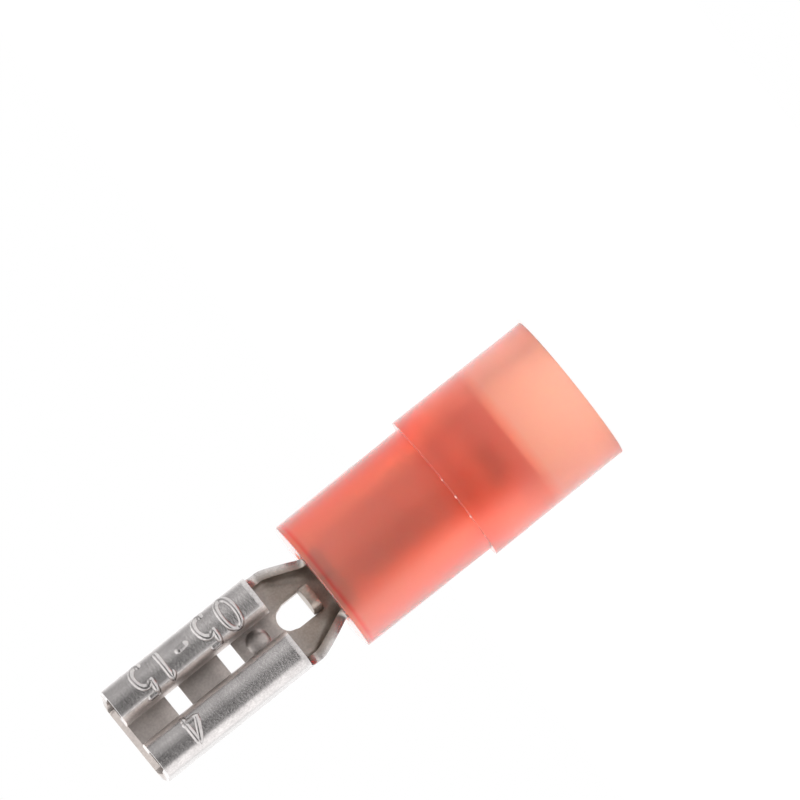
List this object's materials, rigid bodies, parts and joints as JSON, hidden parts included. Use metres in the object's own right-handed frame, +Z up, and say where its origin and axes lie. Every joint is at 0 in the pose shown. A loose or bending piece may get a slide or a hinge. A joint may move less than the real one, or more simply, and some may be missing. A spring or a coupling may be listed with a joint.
{
  "type": "female spade connector",
  "caption": "Insulated female spade connector: a rolled tab receptacle with a crimp barrel, a support ferrule and a stepped nylon sleeve.",
  "frame": {"origin": "centre of the flat wire entry face, on the axis of barrel, ferrule and sleeve", "axes": "+Z up the axis from the wire entry to the tab end; -Y the side on which the receptacle is open; the connector stands on its wire entry face, because it rolls when it lies down"},
  "size_m": [0.0058, 0.0058, 0.0194],
  "materials": {
    "tinned_brass": "tin-plated brass sheet, satin, with bright sheared edges",
    "tinned_ferrule": "tin-plated drawn tube, satin",
    "red_nylon": "translucent red nylon, moulded, soft gloss"
  },
  "bodies": {
    "root": {"terminal": "tinned_brass", "support_ferrule": "tinned_ferrule", "insulating_sleeve": "red_nylon"}
  },
  "joints": []
}
